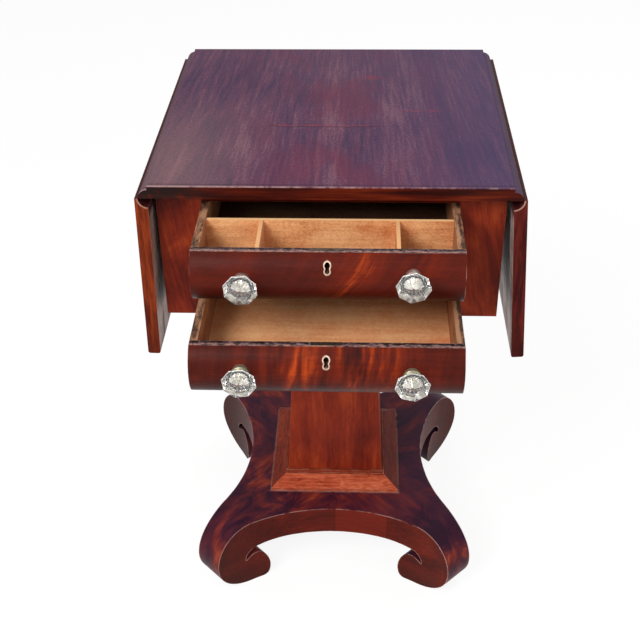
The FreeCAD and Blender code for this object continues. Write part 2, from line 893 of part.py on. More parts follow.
def build():
    parts = {}
    parts["top_board"] = make_top_board()
    leg = make_leg()
    for name, turn in (("leg_rear_right", 0), ("leg_rear_left", 90),
                       ("leg_front_left", 180), ("leg_front_right", 270)):
        piece = leg.copy()
        piece.rotate(Vector(0, 0, 0), Vector(0, 0, 1), turn)
        parts[name] = piece
    parts["plinth_mouldings"] = make_plinth_mouldings()
    parts["column"] = make_column()
    parts["column_cleat"] = make_cleat()
    for name, maker in (("case_side", make_case_side), ("stile", make_stile),
                        ("guide_panel", make_guide_panel), ("leaf_bracket", make_bracket)):
        shape = maker()
        parts[name + "_right"] = shape
        parts[name + "_left"] = mirrored(shape)
    parts["case_back"] = make_case_back()
    parts["case_bottom"] = make_case_bottom()
    middle_floor = lower_opening + opening_height
    top_floor = upper_opening + opening_height
    parts["rail_bottom"] = make_rail(case_floor, bottom_rail_height)
    middle_rail = make_rail(middle_floor, middle_rail_height)
    parts["rail_middle"] = middle_rail.cut(bolt_mortise(middle_floor))
    top_rail = make_rail(top_floor, top_rail_height)
    parts["rail_top"] = top_rail.cut(bolt_mortise(top_floor))
    parts["runners"] = make_bearer(middle_floor, middle_rail_height)
    parts["kickers"] = make_bearer(top_floor, top_rail_height)
    parts["hinge_top_plates"] = group(make_hinge_top_plates())
    leaf = make_leaf()
    flaps = make_hinge_flaps()
    for name, side, angle in (("right", 1, leaf_angle_right), ("left", -1, leaf_angle_left)):
        parts["leaf_" + name] = hang([leaf], side, angle)
        parts["hinge_flaps_" + name] = hang(flaps, side, angle)
    parts.update(drawer_pieces("drawer_upper", upper_opening, drawer_out_upper,
                               upper_knob_lifts, upper_knob_turns, True))
    parts.update(drawer_pieces("drawer_lower", lower_opening, drawer_out_lower,
                               lower_knob_lifts, lower_knob_turns, False))
    return parts


def main():
    os.makedirs("parts", exist_ok=True)
    parts = build()
    for name, shape in parts.items():
        solids = len(shape.Solids)
        print(f"{name}: {solids} solid(s), {shape.Volume / 1000:.1f} cm3, valid {shape.isValid()}")
        shape.exportStep("parts/" + name + ".step")
    print(len(parts), "nodes")


main()
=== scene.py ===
# %% [markdown]
# # A drop-leaf work table, dressed for its portrait
#
# The table is a small mahogany work table from the first half of the nineteenth century: a square
# top with two hanging leaves, two bowed drawers with cut glass knobs, a tapered square column and
# a platform that rolls down into four scroll feet. Its solid pieces come ready made, as a fixed
# frame. This lesson gives each of them its finish and models the small things that need more than
# a frame's plain form: the cut glass, its silvered backs, the turned collars, nuts and screws.
#
# The frame is loaded first, because most of the measures below are read from it.

# %% Load the frame
import bmesh
import bpy
import json
import math
from mathutils import Matrix, Vector


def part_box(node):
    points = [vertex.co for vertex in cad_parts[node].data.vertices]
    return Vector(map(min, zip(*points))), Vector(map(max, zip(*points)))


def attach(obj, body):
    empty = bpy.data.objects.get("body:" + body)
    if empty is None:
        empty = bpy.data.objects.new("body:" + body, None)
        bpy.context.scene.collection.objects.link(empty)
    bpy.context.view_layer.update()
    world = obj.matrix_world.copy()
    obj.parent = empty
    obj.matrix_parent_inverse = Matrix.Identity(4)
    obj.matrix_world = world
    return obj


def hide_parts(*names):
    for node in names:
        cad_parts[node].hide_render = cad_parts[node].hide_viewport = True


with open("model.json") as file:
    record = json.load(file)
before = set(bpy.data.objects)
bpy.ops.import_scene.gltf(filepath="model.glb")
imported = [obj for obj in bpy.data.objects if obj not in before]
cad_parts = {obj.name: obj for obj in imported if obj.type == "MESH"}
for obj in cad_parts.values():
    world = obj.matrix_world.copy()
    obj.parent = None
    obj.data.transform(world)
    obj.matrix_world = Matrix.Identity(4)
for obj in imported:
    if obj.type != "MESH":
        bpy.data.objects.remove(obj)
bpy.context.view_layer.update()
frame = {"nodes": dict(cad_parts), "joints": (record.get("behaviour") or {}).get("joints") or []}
nodes = frame["nodes"]
joints = {joint["name"]: joint for joint in frame["joints"]}

# %% [markdown]
# ## The camera
#
# The photograph was taken by someone standing in front of the table and looking down on it. The
# place of that eye was worked out from the corners of the top, of the drawers and of the base:
# 1.35 m in front of the column, 1.32 m above the floor, and a little to the right. A camera is
# an object like any other, so its matrix is built from the three directions that it looks along.

# %% Place the camera
EYE = Vector((0.0378, -1.3516, 1.3245))
YAW = math.radians(-2.598)
PITCH = math.radians(34.861)
ROLL = math.radians(-0.844)
LENS = 61.246


def look_matrix(eye, yaw, pitch, roll):
    """The camera's matrix from where it stands and how it is turned."""
    ahead = Vector((math.sin(yaw) * math.cos(pitch), math.cos(yaw) * math.cos(pitch),
                    -math.sin(pitch)))
    level = Vector((math.cos(yaw), -math.sin(yaw), 0))
    above = level.cross(ahead)
    right = level * math.cos(roll) + above * math.sin(roll)
    up = -level * math.sin(roll) + above * math.cos(roll)
    turn = Matrix((right, up, -ahead)).transposed().to_4x4()
    return Matrix.Translation(eye) @ turn


lens = bpy.data.cameras.new("camera")
lens.lens = LENS
camera = bpy.data.objects.new("camera", lens)
bpy.context.scene.collection.objects.link(camera)
camera.matrix_world = look_matrix(EYE, YAW, PITCH, ROLL)
bpy.context.scene.camera = camera
print("camera at", tuple(EYE), "sensor", lens.sensor_width)

# %% [markdown]
# ## A bench for finishes
#
# A finish is a network of nodes. Written out node by node it is long and hard to read, so two
# small classes make it read like a sum: `Signal` is one socket with the arithmetic signs on it,
# and `Bench` makes nodes. `1 - mask` or `grain * 0.5 + rings` then adds the Math nodes by itself.

# %% The Signal class


class Signal:
    """A number, colour, vector or shader that comes out of a node."""

    def __init__(self, bench, socket):
        self.bench = bench
        self.socket = socket

    def math(self, operation, *others):
        inputs = dict(enumerate((self,) + others))
        return self.bench.node("Math", {"operation": operation}, inputs)

    def __add__(self, other):
        return self.math("ADD", other)

    __radd__ = __add__

    def __mul__(self, other):
        return self.math("MULTIPLY", other)

    __rmul__ = __mul__

    def __sub__(self, other):
        return self.math("SUBTRACT", other)

    def __rsub__(self, other):
        return self.bench.node("Math", {"operation": "SUBTRACT"}, {0: other, 1: self})

    def most(self, other):
        return self.math("MAXIMUM", other)

    def size(self):
        return self.math("ABSOLUTE")

    def rise(self, low, high):
        """0 below low, 1 above high, with a soft step between."""
        settings = {"interpolation_type": "SMOOTHSTEP"}
        return self.bench.node("MapRange", settings,
                               {"Value": self, "From Min": low, "From Max": high})

    def fall(self, low, high):
        """1 below low, 0 above high."""
        return 1 - self.rise(low, high)

    def near(self, middle, reach):
        """1 at a value, falling softly to 0 at a distance from it."""
        return (self - middle).size().fall(0, reach)


# %% The Bench class


class Bench:
    """The node tree of one material, or of the world."""

    def __init__(self, owner):
        owner.use_nodes = True
        self.owner = owner
        self.tree = owner.node_tree
        self.tree.nodes.clear()

    def node(self, kind, settings, inputs, output=0):
        """Any node: its kind, its settings, and the values or links of its sockets."""
        made = self.tree.nodes.new("ShaderNode" + kind)
        for key, value in settings.items():
            setattr(made, key, value)
        for key, value in inputs.items():
            if isinstance(value, Signal):
                self.tree.links.new(value.socket, made.inputs[key])
            else:
                made.inputs[key].default_value = value
        return Signal(self, made.outputs[output]) if made.outputs else None

    def place(self):
        """Where a point of the surface is, in metres."""
        return self.node("TexCoord", {}, {}, "Object")

    def split(self, vector):
        """The three numbers of a vector."""
        parts = self.node("SeparateXYZ", {}, {0: vector})
        return [Signal(self, out) for out in parts.socket.node.outputs]

    def facing(self):
        """The three numbers of the way that the surface faces."""
        return self.split(self.node("TexCoord", {}, {}, "Normal"))

    def join(self, x, y, z):
        return self.node("CombineXYZ", {}, {0: x, 1: y, 2: z})

    def stretch(self, vector, factors, shift=(0, 0, 0)):
        """The vector times three factors, moved by a shift."""
        return self.node("VectorMath", {"operation": "MULTIPLY_ADD"},
                         {0: vector, 1: factors, 2: shift})

    def noise(self, vector, scale, detail=3.0, rough=0.55, bend=0.0):
        return self.node("TexNoise", {}, {"Vector": vector, "Scale": scale, "Detail": detail,
                                          "Roughness": rough, "Distortion": bend})

    def ramp(self, value, stops):
        """A colour for each value, from a list of (place, colour from 0 to 255)."""
        made = self.node("ValToRGB", {}, {0: value})
        marks = made.socket.node.color_ramp.elements
        while len(marks) < len(stops):
            marks.new(0.5)
        for mark, (spot, colour) in zip(marks, stops):
            mark.position = spot
            mark.color = tint(*colour)
        return made

    def mix(self, amount, *colours):
        """Two colours mixed. One of three numbers runs from 0 to 255, as in a ramp."""
        first, second = [tint(*colour) if isinstance(colour, tuple) and len(colour) == 3
                         else colour for colour in colours]
        return self.node("Mix", {"data_type": "RGBA"}, {0: amount, 6: first, 7: second}, 2)

    def cover(self, colour, coats):
        """A colour with coats over it: how much of each coat there is, and its colour."""
        for amount, coat in coats:
            colour = self.mix(amount, colour, coat)
        return colour

    def close(self, surface):
        """Joins a shader to the output."""
        kind = "OutputWorld" if isinstance(self.owner, bpy.types.World) else "OutputMaterial"
        self.node(kind, {}, {"Surface": surface})
        return self.owner

    def finish(self, colour, rough, height=None, depth=0.0001, **fixed):
        """Joins colour, roughness and relief to the surface. Fixed values go on its sockets."""
        inputs = {"Base Color": colour, "Roughness": rough}
        inputs.update({key.replace("_", " "): value for key, value in fixed.items()})
        if height is not None:
            inputs["Normal"] = self.node("Bump", {}, {"Height": height, "Distance": depth})
        return self.close(self.node("BsdfPrincipled", {}, inputs))


def new_bench(name):
    return Bench(bpy.data.materials.new(name))


def tint(red, green, blue):
    """A colour as it looks on a screen, from 0 to 255, in the numbers that light adds up in."""
    linear = []
    for value in (red, green, blue):
        part = value / 255
        linear.append(part / 12.92 if part <= 0.04045 else ((part + 0.055) / 1.055) ** 2.4)
    return (*linear, 1)


print("the bench is ready; middle grey is", tint(128, 128, 128)[0])

# %% [markdown]
# ## A white studio
#
# The table stands on a white floor in front of nothing. The floor's material shows plain white
# to the camera and to shiny things, yet keeps the table's shadow: a diffuse floor is mixed with a
# white glow, and the glow only answers rays from the eye, from gloss and from glass. The lamps
# light a mid grey about as it is written: a large one high on the left is the window, a weaker
# one on the right softens the dark side, one behind lights the back, and the pale air does the
# rest. The lamp behind stands aside, so that the top doesn't mirror it to the camera.

# %% Build the floor and the air
WHITE = (1, 1, 1, 1)
PAPER = (0.9, 0.9, 0.9, 1)
FLOOR_SIZE = 40
SHADOW_KEPT = 0.18
AIR_LIGHT = 0.4
GLOW = 1.08


def white_where_seen(bench, lit):
    """A lit shader for the light, and plain white for rays from the eye, gloss and glass."""
    eye, gloss, glass = [bench.node("LightPath", {}, {}, "Is " + kind + " Ray")
                         for kind in ("Camera", "Glossy", "Transmission")]
    glow = bench.node("Emission", {}, {"Color": WHITE, "Strength": GLOW})
    return bench.node("MixShader", {}, {0: eye.most(gloss).most(glass), 1: lit, 2: glow})


bpy.ops.mesh.primitive_plane_add(size=FLOOR_SIZE)
floor = bpy.context.object
floor.name = "floor"
bench = new_bench("white_floor")
paper = bench.node("BsdfDiffuse", {}, {"Color": PAPER})
seen = white_where_seen(bench, paper)
floor.data.materials.append(bench.close(
    bench.node("MixShader", {}, {0: SHADOW_KEPT, 1: seen, 2: paper})))

bpy.context.scene.view_settings.view_transform = "Standard"
bpy.context.scene.world = bpy.data.worlds.new("studio")
bench = Bench(bpy.context.scene.world)
air = bench.node("Background", {}, {"Color": WHITE, "Strength": AIR_LIGHT})
bench.close(white_where_seen(bench, air))
print("floor", FLOOR_SIZE, "m wide, air", AIR_LIGHT)

# %% Hang the lamps


def lamp(name, spot, aim, size, power):
    """A square lamp that faces a point."""
    light = bpy.data.lights.new(name, "AREA")
    light.size = size
    light.energy = power
    holder = bpy.data.objects.new(name, light)
    bpy.context.scene.collection.objects.link(holder)
    holder.location = spot
    holder.rotation_euler = (Vector(aim) - Vector(spot)).to_track_quat("-Z", "Y").to_euler()


lamp("window", (-1.3, -2.0, 2.5), (0, 0, 0.45), 1.3, 60)
lamp("fill", (1.9, -1.6, 1.4), (0, 0, 0.4), 1.8, 14)
lamp("behind", (1.3, 1.7, 2.3), (0, 0, 0.5), 1.2, 12)

# %% [markdown]
# ## Old mahogany
#
# Mahogany shows three things: broad streaks a finger wide, fine lines along the grain, and short
# dark pores. Each is the same noise, drawn out along the grain and set to its own size. The
# finishes below start from these three and differ in their colours and figure. Old polish has
# little sheen left, and where hands and knocks have rounded the edges the wood shows bare:
# comparing a rounded normal with the true one finds those places.

# %% Helpers for the grain
ALONG_X, ALONG_Y, ALONG_Z = 0, 1, 2
# how many marks of the noise go into a metre across the grain
STREAKS, LINES, PORES = 24, 230, 900
SHEEN = 0.09
DULL_SHEEN = 0.06


def grain(bench, place, along, seed, draw_out=0.07):
    """Streaks, lines and pores drawn out along one axis. Each is a number about 0.5."""
    factors = [1.0, 1.0, 1.0]
    factors[along] = draw_out
    drawn = bench.stretch(place, factors, (seed, seed * 1.7, seed * 0.6))
    streaks = bench.noise(drawn, STREAKS, 3, 0.5, 0.5)
    lines = bench.noise(drawn, LINES, 3, 0.6)
    pores = bench.noise(drawn, PORES, 1, 0.5)
    return streaks, lines, pores


def weigh(*parts):
    """Noises added up by their weights. Each of them is about 0.5, and so is the sum."""
    total = 0.5
    for noise, weight in parts:
        total = (noise - 0.5) * weight + total
    return total


def three_shades(bench, value, dark, middle, light):
    """The colours of plain grain."""
    return bench.ramp(value, [(0.34, dark), (0.5, middle), (0.66, light)])


def in_pores(pores):
    """Where old dirt fills the deepest pores."""
    return pores.rise(0.58, 0.72) * 0.3


def wear_and_glint_arris(bench, radius, low=0.02, high=0.12):
    """1 along sharp edges within a radius, 0 on the flats: where polish is rubbed off, and on
    glass where glints are painted.
    """
    soft = bench.node("Bevel", {"samples": 4}, {"Radius": radius})
    true = bench.node("NewGeometry", {}, {}, "Normal")
    match = bench.node("VectorMath", {"operation": "DOT_PRODUCT"}, {0: soft, 1: true}, "Value")
    return (1 - match).rise(low, high)


def rub(bench, colour, radius, size, amount, bare):
    """Bare wood in patches along the edges."""
    patches = bench.noise(bench.place(), size, 2).rise(0.42, 0.6)
    return bench.mix(wear_and_glint_arris(bench, radius) * patches * amount, colour, bare)


def polish(bench, colour, lines, pores, low=0.3, high=0.5, sheen=SHEEN):
    """French polish over grain: roughness from low to high, and a relief of lines and pores."""
    rough = lines * (high - low) + low
    relief = lines * 0.4 + pores.rise(0.35, 0.5)
    return bench.finish(colour, rough, relief, 0.00007, Specular_IOR_Level=sheen)


# %% [markdown]
# ## The top
#
# The flat of the top is one wide sheet of veneer with its grain from front to back. Its veneer is
# red-brown under a painted reflection of blue sky, which makes it purple-brown, greyer at the left
# and bluer at the right, where more reflection is painted, with two short cracks across it where a
# board below has moved. The front edge is still red, but black with dirt and wear at its left end,
# and its upper arris is chipped pale. The underside is bare. The finish tells flat, edges and
# underside apart by the way that the surface faces.

# %% The finish of the top
TOP_FRONT = 0.2205
# each crack: where it starts and ends in x, its y and half its width
CRACKS = ((-0.075, 0.055, -0.061, 0.0022), (0.085, 0.14, -0.014, 0.0018))
# the first crack has a shadow beside it
CRACK_SHADE = (-0.085, 0.06, -0.0645, 0.0026)


def thin_line(x, y, start, end, middle_y, wide):
    """1 on a thin line across the grain from one x to another, soft at its ends."""
    along = x.rise(start - 0.01, start + 0.01) * x.fall(end - 0.01, end + 0.01)
    return (y - middle_y).near(0, wide) * along


def make_top_finish():
    """Veneer on the flat, red edges at the front and back, and a bare underside."""
    bench = new_bench("top_veneer")
    place = bench.place()
    x, y, z = bench.split(place)
    # the streaks fan out a little towards the front
    fanned = bench.join(x * (1 + y * 0.5), y, z)
    streaks, lines, pores = grain(bench, fanned, ALONG_Y, 3.1)
    cloud = bench.noise(bench.stretch(place, (1, 0.5, 1)), 11, 4, 0.6)
    speck = bench.noise(bench.stretch(place, (1, 0.6, 1), (7, 1, 0)), 420, 2, 0.6)
    tone = weigh((streaks, 0.5), (lines, 0.7), (cloud, 0.4), (speck, 0.5))
    red = bench.noise(bench.stretch(place, (1, 0.45, 1), (2, 5, 0)), 13, 3, 0.6).rise(0.48, 0.62)
    worn = x.fall(-0.2, -0.06) * y.fall(-0.16, 0.1) * (speck * 0.6 + 0.6)
    # the cracks wander a little as they cross the board, and close here and there
    wandered = y - bench.noise(bench.stretch(place, (1, 0, 0)), 30, 4, 0.7) * 0.024
    open_here = bench.noise(bench.stretch(place, (1, 0, 0), (4, 0, 0)), 55, 2).rise(0.35, 0.55)
    first, second = [thin_line(x, wandered, *crack) for crack in CRACKS]
    stain = (x - 0.058).near(0, 0.03) * (y - 0.111).near(0, 0.012) * cloud.rise(0.35, 0.6)
    dust = bench.noise(place, 420, 1, 0.5).rise(0.62, 0.8)
    # the purple in these shades is a painted reflection of blue sky on red-brown wood
    colour = bench.ramp(tone, [(0.32, (62, 44, 72)), (0.44, (84, 54, 80)),
                               (0.55, (101, 62, 85)), (0.68, (126, 88, 102))])
    colour = bench.cover(colour, [
        (red * x.near(0.02, 0.2) * 0.55, (110, 46, 66)),
        # bluer towards the right: more painted reflection of the sky
        (x.rise(-0.02, 0.22) * 0.55, (72, 60, 98)),
        (y.rise(-0.05, 0.2) * x.near(0.02, 0.18) * 0.35, (80, 58, 86)),
        (worn * 0.45, (146, 116, 112)),
        (thin_line(x, wandered, *CRACK_SHADE) * 0.55, (44, 26, 42)),
        (first.most(second) * open_here * 0.7, (166, 58, 66)),
        (stain * 0.55, (150, 50, 62)),
        (dust * bench.noise(place, 17, 2).rise(0.5, 0.7) * 0.3, (168, 150, 160))])

    # the edges at the front and back, dirty at the left
    band = bench.noise(bench.stretch(place, (0.07, 1, 1)), 130, 3)
    edge = three_shades(bench, band, (48, 14, 10), (76, 22, 12), (116, 40, 18))
    dirt = x.fall(-0.21, -0.1) * bench.noise(place, 50, 3).rise(0.35, 0.5)
    edge = bench.mix(dirt * 0.9, edge, (30, 24, 23))
    # along the front of the flat a dark line, and then the arris, chipped most at the left
    nx, ny, nz = bench.facing()
    inward = y + TOP_FRONT
    dark_line = inward.near(0.0065, 0.0028) * nz.rise(0.8, 0.95)
    arris = inward.fall(0.0024, 0.0042) * nz.rise(0.3, 0.6)
    chips = bench.noise(bench.stretch(place, (1, 0, 0), (3, 0, 0)), 60, 3, 0.7)
    colour = bench.cover(colour, [
        (nx.size().rise(0.25, 0.8) * 0.75, (58, 22, 34)),
        (ny.size().rise(0.4, 0.7), edge),
        ((-1 * nz).rise(0.6, 0.9), (96, 58, 38)),
        (dark_line * 0.5, (40, 24, 38)),
        (arris * (chips - x * 0.5).rise(0.36, 0.62) * 0.75, (178, 142, 140))])
    return polish(bench, colour, lines, pores, 0.42, 0.62, DULL_SHEEN)


top_finish = make_top_finish()
print("made", top_finish.name, "with", len(top_finish.node_tree.nodes), "nodes")

# %% [markdown]
# ## Plain mahogany
#
# The rails, the stiles, the sides and the column are red mahogany with quiet grain. One function
# makes them all from four shades, dark to light. `streaky` sets how strong the broad streaks are,
# `cloud` adds the soft mottle of a curly board, and `lean` slants the grain.

# %% The plain mahogany finishes


def make_red(name, along, seed, shades, cloud=0.0, lean=0.0, streaky=0.5):
    """Red mahogany with straight grain, mottled and leant over by a share of x for each z."""
    bench = new_bench(name)
    place = bench.place()
    if lean:
        x, y, z = bench.split(place)
        place = bench.join(x + z * lean, y, z)
    streaks, lines, pores = grain(bench, place, along, seed)
    tone = weigh((streaks, streaky), (lines, 0.3))
    if cloud:
        mottle = bench.noise(bench.stretch(place, (1, 1, 0.6), (seed, 0, 0)), 20, 4, 0.55, 0.6)
        tone = tone + (mottle - 0.5) * cloud
    colour = bench.ramp(tone, list(zip((0.34, 0.46, 0.56, 0.68), shades)))
    colour = bench.mix(in_pores(pores), colour, (40, 12, 8))
    colour = rub(bench, colour, 0.0008, 70, 0.5, (160, 98, 74))
    return polish(bench, colour, lines, pores)


RED_SHADES = ((46, 13, 9), (84, 23, 14), (108, 32, 17), (136, 50, 26))
column_finish = make_red("column_mahogany", ALONG_Z, 5.2, (
    (84, 25, 17), (110, 33, 20), (132, 44, 24), (156, 60, 30)), 0.45)
stile_finish = make_red("stile_mahogany", ALONG_Z, 8.4, (
    (74, 20, 12), (106, 30, 15), (132, 44, 20), (158, 62, 28)), 0.8, 0.15, 0.25)
rail_finish = make_red("rail_mahogany", ALONG_X, 2.7, RED_SHADES)
side_finish = make_red("side_mahogany", ALONG_Y, 1.4, RED_SHADES, 0.4, 0.3)
print("plain mahogany in", len(RED_SHADES), "shades")

# %% [markdown]
# ## The moulding round the column's foot
#
# The moulding is a lighter, orange piece of curly mahogany, pale along its lower lip with wear and
# a painted highlight. Its four lengths meet in mitres, and the grain runs along each of them. A
# point belongs to a side length where it is further out in x than in y. The sides and the back are
# a darker copy of the front, painted as shade, and the right side darker and bluer still, as a
# painted shadow with a reflection of the sky. The narrow fillet round the column's foot is darker
# too, and the corners beside it are painted in shade.

# %% The finish of the moulding
PLINTH_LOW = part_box("plinth_mouldings")[0][2]
PLINTH_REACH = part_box("plinth_mouldings")[1][0]
COLUMN_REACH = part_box("column")[1][0]
FILLET = 0.0032


def make_plinth_finish():
    """Orange curly mahogany whose grain turns at each mitre."""
    bench = new_bench("plinth_mahogany")
    place = bench.place()
    x, y, z = bench.split(place)
    on_side = (x.size() - y.size()).rise(-0.0003, 0.0003)
    run = x + (y - x) * on_side
    across = y + (x - y) * on_side
    turned = bench.join(run, across, z)
    streaks, lines, pores = grain(bench, turned, ALONG_X, 6.6, 0.12)
    curl = bench.noise(bench.stretch(turned, (0.5, 1, 1), (9, 0, 0)), 130, 3, 0.65, 1.2)
    tone = weigh((streaks, 0.4), (lines, 0.45), (curl, 0.35))
    colour = bench.ramp(tone, [(0.32, (126, 46, 29)), (0.46, (176, 77, 50)),
                               (0.56, (202, 102, 70)), (0.7, (230, 140, 102))])
    # the sides and the back: a darker copy of the same grain, painted as shade
    side = three_shades(bench, tone, (72, 18, 10), (110, 32, 16), (146, 54, 26))
    # the right side darker and bluer still: a painted shadow with a reflection of the sky
    side = bench.mix(x.rise(-0.02, 0.02) * 0.6, side, (54, 28, 34))
    lip = (z - PLINTH_LOW).fall(0.0, 0.0065)
    # the fillet is darker, and the corners before and behind it are painted in shade
    beyond = x.size().most(y.size()) - COLUMN_REACH
    corners = beyond.near(0, 0.002).most(beyond.near(FILLET + 0.0009, 0.0012))
    colour = bench.cover(colour, [
        (on_side.most(y.rise(-0.02, 0.02)) * 0.9, side),
        (in_pores(pores), (60, 20, 14)),
        # the lower lip paler: wear, with a painted highlight
        (lip * curl.rise(0.3, 0.6) * 0.4, (196, 130, 116)),
        (beyond.fall(FILLET, FILLET + 0.0006) * 0.75, (122, 46, 30)),
        (corners * 0.8, (40, 17, 12))])
    colour = rub(bench, colour, 0.0009, 60, 0.9, (222, 166, 138))
    return polish(bench, colour, lines, pores, sheen=DULL_SHEEN)


plinth_finish = make_plinth_finish()
print("moulding: low edge", PLINTH_LOW, "reach", PLINTH_REACH)

# %% [markdown]
# ## The two drawer fronts
#
# Both fronts are veneered with flame, cut where a branch leaves the trunk. The upper one is plain
# on the left, and its tongues lean to the right and glow just right of the keyhole; on the lower
# one they stand upright on both sides of the keyhole. Flame is noise drawn out along the tongues,
# in two sizes. The top edge of each front has lost its polish and its veneer is chipped, and the
# inner face is bare wood.

# %% The finishes of the drawer fronts


def make_front_finish(name, node, seed, lean, glows, quiet, strong, shades):
    """lean slants the tongues. A glow is a place in x, its reach and how strong they are there."""
    bench = new_bench(name)
    low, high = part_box(node)
    place = bench.place()
    x, y, z = bench.split(place)
    up = z - (low[2] + high[2]) / 2
    wander = bench.noise(bench.stretch(place, (1, 0, 1), (seed, 0, 0)), 14, 2) - 0.5
    across = x - up * lean + wander * 0.012
    tongues = bench.join(across, 0.0, up * 0.2 + seed)
    broad = bench.noise(tongues, 38, 3, 0.55, 0.6)
    narrow = bench.noise(tongues, 150, 3, 0.6, 0.4)
    _, lines, pores = grain(bench, place, ALONG_X, seed)
    cloud = bench.noise(bench.stretch(place, (0.5, 0, 1), (0, seed, 0)), 24, 3, 0.5, 0.5)
    glow = 0.0
    for spot, reach, share in glows:
        glow = (across - spot).near(0, reach) * share + glow
    figure = (broad - 0.5) * 0.85 + (narrow - 0.5) * 0.3
    tone = figure * (glow * (strong - quiet) + quiet) + 0.43 + glow * 0.1
    tone = tone + (lines - 0.5) * 0.1 + (cloud - 0.5) * 0.22
    colour = bench.ramp(tone, list(zip((0.28, 0.42, 0.54, 0.7), shades)))

    # the top edge: grey at the front, black with chips behind
    _, ny, nz = bench.facing()
    chips = bench.noise(bench.stretch(place, (0.6, 1.2, 1), (seed, 0, 0)), 240, 4, 0.75)
    behind = (y - high[1]).rise(-0.006, -0.0025)
    edge = bench.ramp(chips - behind * 0.14 + 0.03, [
        (0.38, (34, 26, 27)), (0.44, (78, 58, 60)), (0.5, (128, 100, 100)),
        (0.6, (158, 124, 118)), (0.66, (226, 150, 100))])
    bare = bench.ramp(lines, [(0.3, (170, 104, 66)), (0.7, (214, 148, 102))])
    # the lowest part of each front is painted darker, as shade where the bow turns downwards
    colour = bench.cover(colour, [
        ((z - low[2]).fall(0.0, 0.034) * 0.85, shades[0]), (in_pores(pores), (38, 10, 6)),
        (nz.rise(0.9, 0.97), edge), (ny.rise(0.5, 0.9), bare)])
    colour = rub(bench, colour, 0.0014, 45, 1.0, (196, 150, 138))
    return polish(bench, colour, lines, pores, 0.26, 0.42)


upper_front_finish = make_front_finish(
    "upper_front_flame", "drawer_upper_front", 1.3, 0.75, ((0.025, 0.045, 1), (0.085, 0.05, 0.35)),
    0.2, 0.9, ((44, 11, 8), (82, 25, 16), (110, 33, 15), (182, 70, 26)))
lower_front_finish = make_front_finish(
    "lower_front_flame", "drawer_lower_front", 4.9, 0.12, ((-0.04, 0.05, 0.9), (0.045, 0.07, 1)),
    0.4, 1.3, ((44, 13, 9), (78, 23, 14), (110, 33, 15), (180, 68, 24)))
print("fronts:", upper_front_finish.name, lower_front_finish.name)

# %% [markdown]
# ## The scroll base
#
# The platform and the rolls of the feet are veneered with crotch mahogany, dark purple and cloudy
# with soft red places, most of them at the left and in front. The strokes of the crotch run out
# along each leg, so the pattern is turned to the leg's own diagonal. The upright bands and the
# faces of the scrolls are plainer and redder. They face sideways to that diagonal, which is how
# the finish finds them. Underneath, the platform is bare.

# %% The finish of the base
# between two joints, the front band's veneer is redder
RED_BAND_FROM, RED_BAND_TO = 0.0015, 0.082
# how far from a neighbour's edge the figure starts to blend with the neighbour's
SEAM = 0.035
# soft places where the crotch is red: x, y and reach
WARM_PLACES = ((-0.18, 0.02, 0.13), (-0.12, -0.11, 0.11), (-0.02, -0.09, 0.1),
               (-0.19, -0.22, 0.09), (0.2, -0.21, 0.1), (-0.14, 0.17, 0.12), (0.13, 0.19, 0.08))


